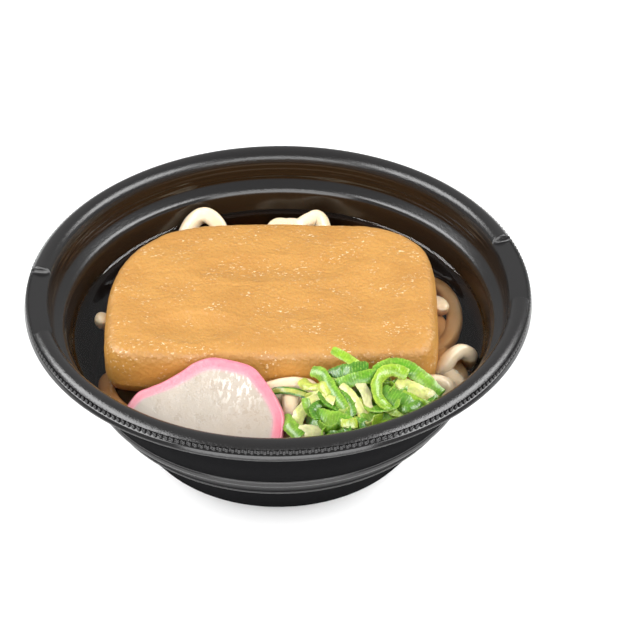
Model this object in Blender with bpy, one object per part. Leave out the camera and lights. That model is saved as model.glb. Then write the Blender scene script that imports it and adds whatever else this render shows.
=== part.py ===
"""Udon noodle bowl: a black takeaway bowl with broth, thick noodles, a slab of fried
tofu, a slice of pink-edged fish cake and a heap of chopped green onion.

Metres, +Z up. The origin is on the surface that the bowl stands on, at the bowl's axis.
The slab's long side lies along X, and the bowl's two thumb tabs are turned a little from it.
"""

import math

import bmesh
import bpy
from mathutils import Vector

MM = 0.001
GAP = 0.3 * MM  # left between pieces that touch
CUT_GAP = 0.35 * MM  # how much larger a piece is when it cuts its neighbour

# Bowl
RIM_RADIUS = 100.0 * MM
SHEET = 1.2 * MM  # wall thickness
ROLL_RADIUS = 4.6 * MM  # rounded rim, seen in section
ROLL_CENTRE = Vector((95.2 * MM, 63.2 * MM))
SKIRT_BOTTOM = 61.6 * MM  # lower edge of the lip that hangs from the rim
BOWL_STEPS = 36  # sides round the bowl, a multiple of four
TAB_TURN = math.radians(6.6)
TAB_HALF = math.radians(12.2)
TAB_EDGE = math.radians(0.6)  # half the width of the step at each end of a tab
TAB_TOP = 65.0 * MM  # the rim is cut flat at this height on a tab

# Levels of the contents
FLOOR = 3.0 * MM
BROTH_TOP = 43.0 * MM
BROTH_RADIUS = 81.65 * MM  # at its top, inside the flats between the bowl's steps
FLAT_ROOM = 0.15 * MM  # how far the broth is drawn in from those flats lower down
HEAP_UNDER_TOFU = 39.3 * MM

# Fried tofu slab
TOFU_LEFT = -69.0 * MM
TOFU_RIGHT = 63.6 * MM
TOFU_FRONT = -36.0 * MM
TOFU_BACK = 55.5 * MM
TOFU_BOTTOM = 39.9 * MM
TOFU_TOP = 59.4 * MM
TOFU_CORNERS = (11.0 * MM, 9.0 * MM, 30.0 * MM, 44.0 * MM)  # front left, then anticlockwise

# Fish cake slice, a rounded arch on a flat base, leaning back on the tofu
SLICE_WIDTH = 65.0 * MM
SLICE_HEIGHT = 33.5 * MM
SLICE_THICK = 5.5 * MM
SLICE_SKIN = 4.2 * MM
SLICE_TOP = Vector((-20.3, -39.9, 61.1)) * MM  # middle of the arch, on the front face
SLICE_TURN = math.radians(-23.0)
SLICE_LEAN = math.radians(35.0)

# Green onion heap
ONION_CENTRE = Vector((35.0, -56.0)) * MM
ONION_HALF_LENGTH = 27.5 * MM
ONION_HALF_DEPTH = 17.5 * MM
ONION_TURN = math.radians(22.0)
ONION_LIMIT = 80.6 * MM  # how far out from the bowl's axis the heap reaches
ONION_BOTTOM = 43.3 * MM
ONION_RISE = 16.0 * MM

STRAND_RADIUS = 3.2 * MM

# Noodles that stand out of the heap: where each one's middle line runs, in millimetres
STRANDS = {
    "back_loop": ((-38, 48, 33), (-37, 66, 44), (-31, 71.5, 48.6), (-24, 66, 44), (-21, 48, 33)),
    "back_wave": ((-8, 48, 33), (-3, 66, 43.5), (5, 70.5, 46), (14, 72, 47), (19, 66, 43.5), (22, 48, 33)),
    "left_tip": ((-52, 4, 33), (-64, 5.5, 36.5), (-73.5, 7, 41.5)),
    "right_strand": ((48, 34, 33), (67, 31, 37), (72.5, 15, 38.5), (70, 0, 37), (50, -8, 33)),
    "right_loop": (
        (50, -22, 33), (64.5, -24, 42), (70.5, -18, 47),
        (75.0, -21.5, 45.5), (68.3, -30.5, 38.5), (52, -38, 31),
    ),
    "rim_noodle": ((38, -30, 33), (56, -41, 46), (61.5, -46.5, 46.6), (53, -50, 38), (38, -46, 30)),
    "front_arch": ((-14, -36, 32), (-6, -41, 43), (3, -43, 44), (9, -38, 33)),
    "front_strand": ((3, -30, 33), (2.5, -50, 43.5), (1, -61, 43.5), (1, -67, 37), (3, -56, 26)),
}


def clear_scene():
    for obj in list(bpy.data.objects):
        bpy.data.objects.remove(obj, do_unlink=True)


def make_material(name, colour, roughness, metallic=0.0):
    material = bpy.data.materials.new(name)
    material.use_nodes = True
    shader = material.node_tree.nodes["Principled BSDF"]
    shader.inputs["Base Color"].default_value = (*colour, 1.0)
    shader.inputs["Roughness"].default_value = roughness
    shader.inputs["Metallic"].default_value = metallic
    return material


def make_object(name, points, faces, sharp_degrees=40):
    """One closed object from its points and faces, with its faces turned outward."""
    mesh = bpy.data.meshes.new(name)
    mesh.from_pydata([tuple(p) for p in points], [], faces)
    edit = bmesh.new()
    edit.from_mesh(mesh)
    bmesh.ops.recalc_face_normals(edit, faces=edit.faces)
    edit.to_mesh(mesh)
    edit.free()
    mesh.shade_smooth()
    mesh.set_sharp_from_angle(angle=math.radians(sharp_degrees))
    obj = bpy.data.objects.new(name, mesh)
    bpy.context.scene.collection.objects.link(obj)
    return obj


def make_cutter(obj):
    obj.hide_render = True
    obj.display_type = "WIRE"
    return obj


def combine(obj, other, operation):
    """Adds or takes away another object with a Boolean modifier."""
    modifier = obj.modifiers.new(f"{operation.lower()}_{other.name}", "BOOLEAN")
    modifier.operation = operation
    modifier.solver = "MANIFOLD"  # EXACT leaves slivers where strands cross
    modifier.object = other


def smooth_step(value):
    value = min(1.0, max(0.0, value))
    return value * value * (3 - 2 * value)


def loft(rings, closed_ends=True):
    """Triangles between rings of equal length, each ring a run of point numbers.

    They are cut the same way every time, so that a shape and its larger copy match.
    """
    faces = []
    for low, high in zip(rings, rings[1:]):
        for i in range(len(low)):
            j = (i + 1) % len(low)
            faces += [(low[i], low[j], high[j]), (low[i], high[j], high[i])]
    if closed_ends:
        for i in range(1, len(rings[0]) - 1):
            faces.append((rings[0][0], rings[0][i + 1], rings[0][i]))
            faces.append((rings[-1][0], rings[-1][i], rings[-1][i + 1]))
    return faces


# ---- Bowl ----


def wall_path():
    """The bowl's upper face from the middle of its floor to the lip, as (radius, height)."""
    path = [(0.0, 3.0), (46.5, 3.0), (48.6, 1.2), (54.8, 1.2), (56.9, 1.9)]
    path += [(70.0, 21.0), (71.0, 21.6)]  # narrow lip, above the lower wall
    path += [(73.2, 27.4), (75.2, 28.0), (76.1, 29.4), (75.7, 30.8)]  # rounded bead
    path += [(82.2, 43.0), (84.4, 51.6), (85.8, 53.8), (89.0, 55.9)]  # upper wall and shoulder
    path = [Vector(p) * MM for p in path]
    for degrees in (180, 142, 100, 58, 22):
        angle = math.radians(degrees)
        path.append(ROLL_CENTRE + ROLL_RADIUS * Vector((math.cos(angle), math.sin(angle))))
    path.append(Vector((RIM_RADIUS, ROLL_CENTRE.y)))
    path.append(Vector((RIM_RADIUS - 0.3 * MM, SKIRT_BOTTOM)))
    return path


def offset_path(path, distance):
    """The path moved to its right-hand side by a distance, which gives the lower face."""
    moved = []
    for i, point in enumerate(path):
        before = (point - path[i - 1]).normalized() if i else None
        after = (path[i + 1] - point).normalized() if i + 1 < len(path) else None
        before = before or after
        after = after or before
        along = (before + after).normalized()
        normal = Vector((along.y, -along.x))
        stretch = 1 / max(0.75, math.sqrt((1 + before.dot(after)) / 2))
        moved.append(point + normal * distance * stretch)
    moved[0].x = 0.0
    return moved


def tab_weight(angle):
    """1 on a thumb tab and 0 elsewhere round the rim, for an angle measured from a tab."""
    away = abs((angle + math.pi / 2) % math.pi - math.pi / 2)
    return smooth_step((TAB_HALF + TAB_EDGE - away) / (2 * TAB_EDGE))


def rim_angles():
    """Steps round the bowl, measured from a tab, with one at each edge of the four tab ends."""
    edges = []
    for middle in (0.0, math.pi):
        for side in (-1, 1):
            edges.append(middle + side * (TAB_HALF - TAB_EDGE))
            edges.append(middle + side * (TAB_HALF + TAB_EDGE))
    step = 2 * math.pi / BOWL_STEPS
    plain = [i * step - TAB_TURN for i in range(BOWL_STEPS)]
    clear = [a for a in plain if min(abs(math.remainder(a - e, 2 * math.pi)) for e in edges) > 0.3 * step]
    return sorted(a % (2 * math.pi) for a in clear + edges)


def section_at(angle, upper, lower):
    """The wall's closed section, whose rim is cut flat where a thumb tab is."""
    section = []
    for path, top in ((upper, TAB_TOP), (list(reversed(lower)), TAB_TOP - SHEET)):
        for point in path[1:] if path is upper else path[:-1]:
            flat = min(point.y, top)
            height = point.y + (flat - point.y) * tab_weight(angle)
            section.append(Vector((point.x, height)))
    return section


def make_bowl():
    upper = wall_path()
    lower = offset_path(upper, SHEET)
    base = min(p.y for p in lower)
    lower = [Vector((p.x, 0.0 if p.y - base < 0.4 * MM else p.y)) for p in lower]
    points = []
    rings = []
    for angle in rim_angles():
        turned = angle + TAB_TURN
        section = section_at(angle, upper, lower)
        rings.append(range(len(points), len(points) + len(section)))
        points += [(p.x * math.cos(turned), p.x * math.sin(turned), p.y) for p in section]
    top = len(points)
    points += [(0, 0, upper[0].y), (0, 0, lower[0].y)]
    faces = []
    for ring, following in zip(rings, rings[1:] + rings[:1]):
        for i in range(len(ring) - 1):
            faces.append((ring[i], ring[i + 1], following[i + 1], following[i]))
        faces.append((top, ring[0], following[0]))
        faces.append((top + 1, following[-1], ring[-1]))
    return make_object("bowl", points, faces, sharp_degrees=25)


# ---- Fried tofu ----


def rounded_outline(left, right, front, back, corners, inset, steps=7):
    """An outline with four round corners of different sizes, drawn in by an inset."""
    middles = (
        (left + corners[0], front + corners[0], 180),
        (right - corners[1], front + corners[1], 270),
        (right - corners[2], back - corners[2], 0),
        (left + corners[3], back - corners[3], 90),
    )
    outline = []
    for (x, y, start), corner in zip(middles, corners):
        for i in range(steps):
            angle = math.radians(start + 90 * i / (steps - 1))
            outline.append((x + (corner - inset) * math.cos(angle), y + (corner - inset) * math.sin(angle)))
    return outline


def tofu_surface(x, y):
    """Height of the slab's uneven top: two shallow dimples and a gentle swell."""
    height = TOFU_TOP + 0.5 * MM * math.sin(x / (19 * MM)) * math.cos(y / (17 * MM))
    for cx, cy, rx, ry, depth in ((-34, -17, 17, 10, 1.2), (38, 8, 14, 15, 1.0), (-2, 22, 30, 9, 0.7)):
        far = ((x / MM - cx) / rx) ** 2 + ((y / MM - cy) / ry) ** 2
        height -= depth * MM * math.exp(-far)
    return height


def make_tofu(name, grow=0.0):
    """A thick slab with soft edges: rings up its side, then rings in over its top."""
    middle = Vector(((TOFU_LEFT + TOFU_RIGHT) / 2, (TOFU_FRONT + TOFU_BACK) / 2))
    points = []
    rings = []
    side = ((4.0, 0.0), (1.6, 0.12), (0.3, 0.35), (0.0, 0.55), (0.9, 0.78), (3.0, 0.93), (6.5, 1.0))
    for inset, level in side:
        outline = rounded_outline(
            TOFU_LEFT, TOFU_RIGHT, TOFU_FRONT, TOFU_BACK, TOFU_CORNERS, inset * MM - grow
        )
        rings.append(range(len(points), len(points) + len(outline)))
        for x, y in outline:
            top = tofu_surface(x, y)
            height = TOFU_BOTTOM + (top - TOFU_BOTTOM) * level
            points.append((x, y, height + grow * (2 * level - 1)))
    outline = [Vector(points[i][:2]) for i in rings[-1]]
    for share in (0.72, 0.4):
        rings.append(range(len(points), len(points) + len(outline)))
        for p in outline:
            spot = middle + (p - middle) * share
            points.append((spot.x, spot.y, tofu_surface(spot.x, spot.y) + grow))
    return make_object(name, points, loft(rings))


# ---- Fish cake ----


def arch_point(angle, inset):
    """A point of the slice's arch, drawn in by an inset. The left shoulder is pressed flat."""
    half = SLICE_WIDTH / 2 - inset
    rise = SLICE_HEIGHT - inset
    across = -half * math.copysign(abs(math.cos(angle)) ** 0.95, math.cos(angle))
    up = rise * max(0.0, math.sin(angle)) ** 0.95
    pressed = 0.31 * math.exp(-(((across / MM + 22) / 9.5) ** 2))
    return Vector((across, up * (1 - pressed)))


def slice_axes():
    across = Vector((math.cos(SLICE_TURN), math.sin(SLICE_TURN), 0))
    level = Vector((-math.sin(SLICE_TURN), math.cos(SLICE_TURN), 0))
    up = level * math.cos(SLICE_LEAN) + Vector((0, 0, math.sin(SLICE_LEAN)))
    return across, up, across.cross(up)


def make_slice(name, outline, grow=0.0):
    """An outline on the slice's face, given its thickness away from the viewer's side."""
    across, up, out = slice_axes()
    base = SLICE_TOP - up * SLICE_HEIGHT
    points = []
    rings = []
    for depth in (-SLICE_THICK - grow, grow):
        rings.append(range(len(points), len(points) + len(outline)))
        points += [base + across * p.x + up * p.y + out * depth for p in outline]
    faces = loft(rings, closed_ends=False)
    faces += [tuple(reversed(rings[0])), tuple(rings[1])]
    return make_object(name, points, faces, sharp_degrees=30)


def arch_run(inset, count=26):
    return [arch_point(math.pi * i / count, inset) for i in range(count + 1)]


def body_outline():
    return list(reversed(arch_run(SLICE_SKIN + GAP)))


def skin_outline():
    return list(reversed(arch_run(0.0))) + arch_run(SLICE_SKIN)


def whole_outline(grow):
    outline = list(reversed(arch_run(-grow)))
    drop = Vector((0, -grow))
    return [outline[0] + drop] + outline + [outline[-1] + drop]


# ---- Green onion ----


def onion_surface(share, angle):
    """Height over the base at a share of the way out. The heap is higher beside the tofu."""
    dome = math.sqrt(max(0.0, 1 - share**2.6))
    lean = 1 + 0.16 * share * math.sin(angle)
    lumps = 0.07 * math.sin(5 * angle + 4 * share) + 0.05 * math.sin(9 * angle - 7 * share)
    return ONION_RISE * dome * (lean + lumps) / 1.12


def make_onion(name, grow=0.0, sides=28, levels=6):
    """A low, lumpy heap that follows the tofu's front on one side and the wall on the other."""
    points = []
    rings = []
    for level in range(levels):
        share = math.sin(math.pi / 2 * (levels - level) / levels)
        rings.append(range(len(points), len(points) + sides))
        for i in range(sides):
            angle = 2 * math.pi * i / sides
            wobble = 1 + 0.05 * math.sin(3 * angle + 1) + 0.03 * math.sin(8 * angle)
            x = (ONION_HALF_LENGTH * wobble * share + grow) * math.cos(angle)
            y = (ONION_HALF_DEPTH * wobble * share + grow) * math.sin(angle)
            px = ONION_CENTRE.x + x * math.cos(ONION_TURN) - y * math.sin(ONION_TURN)
            py = ONION_CENTRE.y + x * math.sin(ONION_TURN) + y * math.cos(ONION_TURN)
            spot = Vector((px, min(py, TOFU_FRONT - 0.6 * MM + grow)))
            if spot.length > ONION_LIMIT + grow:
                spot = spot.normalized() * (ONION_LIMIT + grow)
            height = 0.0 if level == 0 else onion_surface(share, angle)
            points.append((spot.x, spot.y, ONION_BOTTOM + height + (grow if level else -grow)))
    peak = len(points)
    points.append((ONION_CENTRE.x, ONION_CENTRE.y, ONION_BOTTOM + onion_surface(0, 0) + grow))
    faces = loft(rings, closed_ends=False)
    faces.append(tuple(reversed(rings[0])))
    last = rings[-1]
    faces += [(last[i], last[(i + 1) % sides], peak) for i in range(sides)]
    return make_object(name, points, faces)


# ---- Noodles ----


def heap_height(x, y):
    """Top of the noodle heap: level under the tofu, lower under the fish cake."""
    front = smooth_step((TOFU_FRONT + 18 * MM - y) / (6 * MM))
    beside = smooth_step((x + 10 * MM) / (12 * MM))
    rise = -7.0 * MM + 10.2 * MM * beside
    lumps = 0.5 * MM * math.sin(x / (4.1 * MM)) * math.sin(y / (4.7 * MM)) - 0.5 * MM
    return HEAP_UNDER_TOFU + lumps + rise * front


def make_heap(name, grow=0.0, sides=26):
    """The heap of noodles under the broth, from the bowl's floor to its lumpy top."""
    points = []
    rings = []
    profile = ((43, 0.0), (52, 0.02), (58, 0.22), (64, 0.62), (66, 0.86))  # radius, share of the height
    profile += tuple((radius, 1.0) for radius in (62, 53, 43, 33, 20))
    bottom = FLOOR + GAP
    for radius, level in profile:
        rings.append(range(len(points), len(points) + sides))
        for i in range(sides):
            angle = 2 * math.pi * i / sides
            wobble = 1 + 0.02 * math.sin(5 * angle) + 0.02 * math.sin(11 * angle + 2 * level)
            reach = radius * MM * wobble
            height = heap_height(reach * math.cos(angle), reach * math.sin(angle))
            height = bottom + (height - bottom) * level
            reach += grow
            # as a cutter, its top reaches well into the slab's own cut
            rise = grow * (6 if level > 0.9 else level - 0.5)
            points.append((reach * math.cos(angle), reach * math.sin(angle), height + rise))
    return make_object(name, points, loft(rings))


def curve_point(route, place):
    """A point on the smooth curve through a route's own points."""
    i = min(int(place), len(route) - 2)
    t = place - i
    a = route[max(i - 1, 0)]
    b = route[i]
    c = route[i + 1]
    d = route[min(i + 2, len(route) - 1)]
    return 0.5 * (2 * b + (c - a) * t + (2 * a - 5 * b + 4 * c - d) * t**2 + (3 * b - a - 3 * c + d) * t**3)


def make_strand(name, route, grow=0.0, sides=6):
    """A thick noodle: a ring of points swept along its route."""
    route = [Vector(p) * MM for p in route]
    count = 3 * (len(route) - 1)
    line = [curve_point(route, (len(route) - 1) * i / count) for i in range(count + 1)]
    points = []
    rings = []
    side = Vector((0, 0, 1))
    for i, spot in enumerate(line):
        along = (line[min(i + 1, count)] - line[max(i - 1, 0)]).normalized()
        side = (side - along * side.dot(along)).normalized()
        other = along.cross(side)
        if i in (0, count):
            spot = spot + along * (grow if i else -grow)
        rings.append(range(len(points), len(points) + sides))
        for k in range(sides):
            angle = 2 * math.pi * (k + 0.5) / sides
            reach = STRAND_RADIUS + grow
            points.append(spot + (side * math.cos(angle) + other * math.sin(angle)) * reach)
    return make_object(name, points, loft(rings))


def make_noodles(name, grow=0.0):
    """The heap with its standing strands joined on."""
    noodles = make_heap(name, grow)
    for strand, route in STRANDS.items():
        piece = make_cutter(make_strand(f"{name}_{strand}", route, grow))
        combine(noodles, piece, "UNION")
    return noodles


# ---- Broth ----


def make_broth(cutters):
    """Broth up to its level inside the bowl, cut round everything in it."""
    inside = offset_path(wall_path(), -GAP)
    path = [p for p in inside if p.y < BROTH_TOP - 1 * MM and p.x < 80 * MM]
    path.append(Vector((BROTH_RADIUS + FLAT_ROOM, BROTH_TOP)))
    points = [(0, 0, path[0].y), (0, 0, BROTH_TOP)]
    rings = []
    for p in path[1:]:
        rings.append(range(len(points), len(points) + BOWL_STEPS))
        for i in range(BOWL_STEPS):
            angle = 2 * math.pi * i / BOWL_STEPS
            reach = p.x - FLAT_ROOM
            points.append((reach * math.cos(angle), reach * math.sin(angle), p.y))
    faces = loft(rings, closed_ends=False)
    for i in range(BOWL_STEPS):
        j = (i + 1) % BOWL_STEPS
        faces.append((0, rings[0][j], rings[0][i]))
        faces.append((1, rings[-1][i], rings[-1][j]))
    broth = make_object("broth", points, faces)
    for cutter in cutters:
        combine(broth, cutter, "DIFFERENCE")
    return broth


def make_all():
    clear_scene()
    bowl = make_bowl()
    tofu = make_tofu("fried_tofu")
    body = make_slice("fish_cake", body_outline())
    skin = make_slice("fish_cake_skin", skin_outline())
    onion = make_onion("green_onion")

    tofu_cutter = make_cutter(make_tofu("cut_tofu", CUT_GAP))
    slice_cutter = make_cutter(make_slice("cut_slice", whole_outline(CUT_GAP), CUT_GAP))
    onion_cutter = make_cutter(make_onion("cut_onion", CUT_GAP))
    combine(onion, tofu_cutter, "DIFFERENCE")
    noodles = make_noodles("noodles")
    for cutter in (tofu_cutter, slice_cutter, onion_cutter):
        combine(noodles, cutter, "DIFFERENCE")
    noodle_cutter = make_cutter(make_noodles("cut_noodles", CUT_GAP))
    broth = make_broth([tofu_cutter, slice_cutter, onion_cutter, noodle_cutter])

    finishes = (
        (bowl, "black_plastic", (0.018, 0.018, 0.020), 0.35),
        (broth, "broth", (0.045, 0.024, 0.010), 0.05),
        (noodles, "noodle", (0.72, 0.64, 0.48), 0.35),
        (tofu, "fried_tofu", (0.72, 0.37, 0.11), 0.5),
        (body, "fish_cake_white", (0.76, 0.68, 0.62), 0.35),
        (skin, "fish_cake_pink", (0.93, 0.32, 0.58), 0.35),
        (onion, "green_onion", (0.16, 0.42, 0.04), 0.4),
    )
    for obj, name, colour, roughness in finishes:
        obj.data.materials.append(make_material(name, colour, roughness))


make_all()
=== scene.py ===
import math
import random

import bpy
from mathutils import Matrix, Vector, noise


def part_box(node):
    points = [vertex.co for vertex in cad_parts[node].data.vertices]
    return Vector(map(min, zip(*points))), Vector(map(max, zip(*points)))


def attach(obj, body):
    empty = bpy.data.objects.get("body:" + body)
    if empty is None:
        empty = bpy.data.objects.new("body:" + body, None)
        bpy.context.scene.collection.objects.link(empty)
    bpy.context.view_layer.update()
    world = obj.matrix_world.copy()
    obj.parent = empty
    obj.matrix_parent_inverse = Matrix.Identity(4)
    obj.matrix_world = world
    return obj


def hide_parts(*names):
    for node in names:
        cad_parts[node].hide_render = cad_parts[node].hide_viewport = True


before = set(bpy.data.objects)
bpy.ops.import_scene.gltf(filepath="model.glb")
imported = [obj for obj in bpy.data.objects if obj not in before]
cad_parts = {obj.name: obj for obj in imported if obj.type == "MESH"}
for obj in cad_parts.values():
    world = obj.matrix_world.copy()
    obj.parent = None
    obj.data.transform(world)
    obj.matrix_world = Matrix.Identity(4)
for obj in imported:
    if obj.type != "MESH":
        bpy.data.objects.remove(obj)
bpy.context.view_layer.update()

mm = 0.001
tofuLow, tofuHigh = [Vector(corner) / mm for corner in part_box("fried_tofu")]


# shader graph

class Wire:
    # one output of a node; arithmetic on it adds Math nodes
    def __init__(self, tree, socket=None):
        self.tree = tree
        self.socket = socket

    def node(self, kind, settings=None, inputs=None, output=0):
        made = self.tree.nodes.new("ShaderNode" + kind)
        for key, value in (settings or {}).items():
            setattr(made, key, value)
        for key, value in (inputs or {}).items():
            if isinstance(value, Wire):
                self.tree.links.new(value.socket, made.inputs[key])
            else:
                made.inputs[key].default_value = value
        return Wire(self.tree, made.outputs[output] if made.outputs else None)

    def maths(self, operation, first, second=0.0):
        return self.node("Math", {"operation": operation}, {0: first, 1: second})

    def __add__(self, other): return self.maths("ADD", self, other)
    def __radd__(self, other): return self.maths("ADD", other, self)
    def __sub__(self, other): return self.maths("SUBTRACT", self, other)
    def __rsub__(self, other): return self.maths("SUBTRACT", other, self)
    def __mul__(self, other): return self.maths("MULTIPLY", self, other)
    def __rmul__(self, other): return self.maths("MULTIPLY", other, self)

    def band(self, low, high):
        # 0 below low and 1 above high, smooth between
        return self.node("MapRange", {"interpolation_type": "SMOOTHSTEP"},
                         {"Value": self, "From Min": low, "From Max": high})

    def mix(self, first, second):
        # colours, by this wire from 0 to 1
        first = (*first, 1.0) if isinstance(first, tuple) else first
        second = (*second, 1.0) if isinstance(second, tuple) else second
        return self.node("Mix", {"data_type": "RGBA"}, {0: self, 6: first, 7: second}, 2)

    def noise(self, size, detail=3.0, roughness=0.55, stretch=(1, 1, 1)):
        # size is in metres, on the piece's own coordinates
        place = self.node("TexCoord", output=3)
        place = self.node("VectorMath", {"operation": "MULTIPLY"}, {0: place, 1: stretch})
        return self.node("TexNoise", {}, {"Vector": place, "Scale": 1 / size, "Detail": detail,
                                          "Roughness": roughness})

    def cells(self, size):
        # distance to the middle of the nearest cell
        place = self.node("TexCoord", output=3)
        return self.node("TexVoronoi", {}, {"Vector": place, "Scale": 1 / size})

    def bump(self, height, distance, strength=1.0):
        return self.node("Bump", {}, {"Height": height, "Distance": distance, "Strength": strength})

    def attribute(self, name, output=2):
        # output 2 is a number and 0 a colour
        return self.node("Attribute", {"attribute_name": name}, {}, output)


def newMaterial(name, paint):
    # paint(wire) returns the shader, or (shader, volume)
    made = bpy.data.materials.new(name)
    made.use_nodes = True
    made.node_tree.nodes.clear()
    wire = Wire(made.node_tree)
    shader = paint(wire)
    shader, volume = shader if isinstance(shader, tuple) else (shader, None)
    inputs = {"Surface": shader}
    if volume is not None:
        inputs["Volume"] = volume
    wire.node("OutputMaterial", inputs=inputs)
    return made


# mesh helpers

def makePiece(name, points, faces, material, replaced=(), values=None, sharp=180):
    mesh = bpy.data.meshes.new(name)
    mesh.from_pydata([tuple(p) for p in points], [], faces)
    mesh.validate()
    mesh.shade_smooth()
    if sharp < 180:
        mesh.set_sharp_from_angle(angle=math.radians(sharp))
    mesh.materials.append(material)
    for key, data in (values or {}).items():
        if isinstance(data[0], (int, float)):
            layer = mesh.attributes.new(key, "FLOAT", "POINT")
            layer.data.foreach_set("value", data)
        else:
            layer = mesh.attributes.new(key, "FLOAT_COLOR", "POINT")
            layer.data.foreach_set("color", [c for colour in data for c in (*colour, 1.0)])
    piece = bpy.data.objects.new(name, mesh)
    bpy.context.scene.collection.objects.link(piece)
    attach(piece, "root")
    if replaced:
        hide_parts(*replaced)
    return piece


def loft(rows, around=True):
    # quads between rows of point numbers
    faces = []
    for low, high in zip(rows, rows[1:]):
        count = len(low)
        for i in range(count if around else count - 1):
            j = (i + 1) % count
            faces.append((low[i], low[j], high[j], high[i]))
    return faces


def smoothStep(value):
    value = min(1.0, max(0.0, value))
    return value * value * (3 - 2 * value)


def curvePoint(route, place):
    # a point on the smooth curve through a route's own points
    i = min(int(place), len(route) - 2)
    t = place - i
    a, b, c, d = route[max(i - 1, 0)], route[i], route[i + 1], route[min(i + 2, len(route) - 1)]
    return 0.5 * (2 * b + (c - a) * t + (2 * a - 5 * b + 4 * c - d) * t ** 2
                  + (3 * b - a - 3 * c + d) * t ** 3)


def smoothLine(route, count):
    route = [Vector(p) for p in route]
    return [curvePoint(route, (len(route) - 1) * i / (count - 1)) for i in range(count)]


def rounded(path, steps=5):
    # corners of a path turned into arcs; each is its x and y and how far back its arc starts
    line = []
    for i, (x, y, radius) in enumerate(path):
        here = Vector((x, y))
        if i in (0, len(path) - 1) or radius <= 0:
            line.append(here)
            continue
        before = Vector(path[i - 1][:2]) - here
        after = Vector(path[i + 1][:2]) - here
        reach = min(radius, before.length * 0.45, after.length * 0.45)
        start = here + before.normalized() * reach
        end = here + after.normalized() * reach
        for k in range(steps + 1):
            t = k / steps
            line.append(start * (1 - t) ** 2 + here * 2 * t * (1 - t) + end * t ** 2)
    return line


# bowl

bowl = {  # lengths in mm, angles in degrees
    "steps": 276,
    "thick": 1.2,
    "rollCentre": (95.2, 63.1),
    "rollRadius": 4.55,
    "tabTurn": 6.6,  # where the middle of the first thumb tab is
    "tabHalf": 12.2,
    "tabEdge": 0.45,
    "tabTop": 65.0,
    "shoulder": 53.0,  # satin from here up
    "footTop": 20.5,  # rougher outside below here
    "grooveRibs": 3,
    "beads": 268,
    "beadRing": (98.75, 64.95),
    "beadSize": (0.72, 0.8, 0.95),
}


def innerLine():
    # upper face, from the middle out to the lip: radius and height in mm, and which stretch it is
    path = [(0, 3.0, 0), (46.5, 3.0, 1), (48.6, 1.2, 1), (54.8, 1.2, 2), (57.0, 2.0, 1), (70.3, 21.2, 1)]
    path += [(73.4, 27.6, 2), (76.0, 30.6, 2), (82.2, 42.6, 6), (84.2, 51.5, 2), (85.3, 53.6, 1.6)]
    path += [(88.6, 55.5, 0)]
    line = [(p.x, p.y, "wall") for p in rounded(path)]
    ribs = bowl["grooveRibs"]
    for k in range(41):
        t = k / 40
        ripple = 0.035 * math.sin(2 * math.pi * ribs * t) * math.sin(math.pi * t) ** 0.5
        line.append((89.2 + 1.2 * t + ripple - 0.12 * math.sin(math.pi * t), 55.8 + 6.9 * t, "groove"))
    cx, cy = bowl["rollCentre"]
    for k in range(29):
        angle = math.radians(176 - 134 * k / 28)
        reach = bowl["rollRadius"]
        line.append((cx + reach * math.cos(angle), cy + reach * math.sin(angle), "roll"))
    lip = [(98.58, 66.14, 0), (98.3, 65.6, 0.3), (98.35, 64.5, 0.3), (98.95, 64.05, 0.2), (99.3, 63.8, 0.2),
           (99.95, 62.5, 0.3), (99.95, 62.0, 0.3), (99.5, 61.65, 0)]
    line += [(p.x, p.y, "lip") for p in rounded(lip, 4)[1:]]
    return line


wallLine = innerLine()


def wallAt(height):
    # radius of the bowl's inner face at a height, in mm
    for (r0, z0, _), (r1, z1, _) in zip(wallLine, wallLine[1:]):
        if r0 > 55 and z0 <= height <= z1:
            return r0 + (r1 - r0) * (height - z0) / max(z1 - z0, 1e-6)
    return 82.0


def keptInside(points, gap):
    # the points, with those that would reach the bowl's wall drawn in to a gap from it
    kept = []
    for p in points:
        reach, most = math.hypot(p.x, p.y), (wallAt(p.z / mm) - gap) * mm
        kept.append(Vector((p.x * most / reach, p.y * most / reach, p.z)) if reach > most else p)
    return kept


def outerLine():
    # lower face, from the lip back down to the middle of the base
    path = [(99.5, 61.65, 0), (98.9, 61.7, 0.2), (98.8, 63.2, 1.5), (97.6, 65.6, 1.5), (95.2, 66.5, 2)]
    path += [(93.0, 65.8, 1.5), (91.8, 62.6, 1.5), (90.3, 55.6, 1.5), (86.9, 53.0, 1.5), (85.4, 51.3, 1.5)]
    path += [(83.3, 42.6, 6), (76.9, 30.9, 0.5), (77.35, 30.2, 0.9), (77.3, 28.6, 1.1), (76.0, 27.7, 0.8)]
    path += [(74.7, 27.5, 0.5), (72.5, 21.9, 0.6)]
    path += [(72.6, 21.2, 0.4), (71.9, 20.6, 0.35), (71.0, 20.45, 0.3), (58.2, 0.9, 1.2), (56.8, 0.0, 1)]
    path += [(48.6, 0.0, 0.6), (46.4, 1.8, 0.6), (0, 1.8, 0)]
    lines = ((26.9, 31.2), (20.3, 22.0))  # heights of the two raised lines round the outside
    line = []
    for p in rounded(path):
        raised = p.x > 70 and any(low < p.y < high for low, high in lines)
        line.append((p.x, p.y, "bead" if raised else "outside"))
    return line


def bowlSteps():
    # steps round the bowl, closer together at the ends of the two thumb tabs
    edges = [middle + side * bowl["tabHalf"] for middle in (0, 180) for side in (-1, 1)]
    angles = []
    for i in range(bowl["steps"]):
        angle = 360 * i / bowl["steps"]
        if min(abs((angle - e + 180) % 360 - 180) for e in edges) > bowl["tabEdge"] * 1.5:
            angles.append(angle)
    for e in edges:
        angles += [(e + bowl["tabEdge"] * k / 4) % 360 for k in range(-5, 6)]
    return sorted(angles)


def tabShare(angle):
    away = abs((angle + 90) % 180 - 90)
    return smoothStep((bowl["tabHalf"] + bowl["tabEdge"] - away) / (2 * bowl["tabEdge"]))


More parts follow.
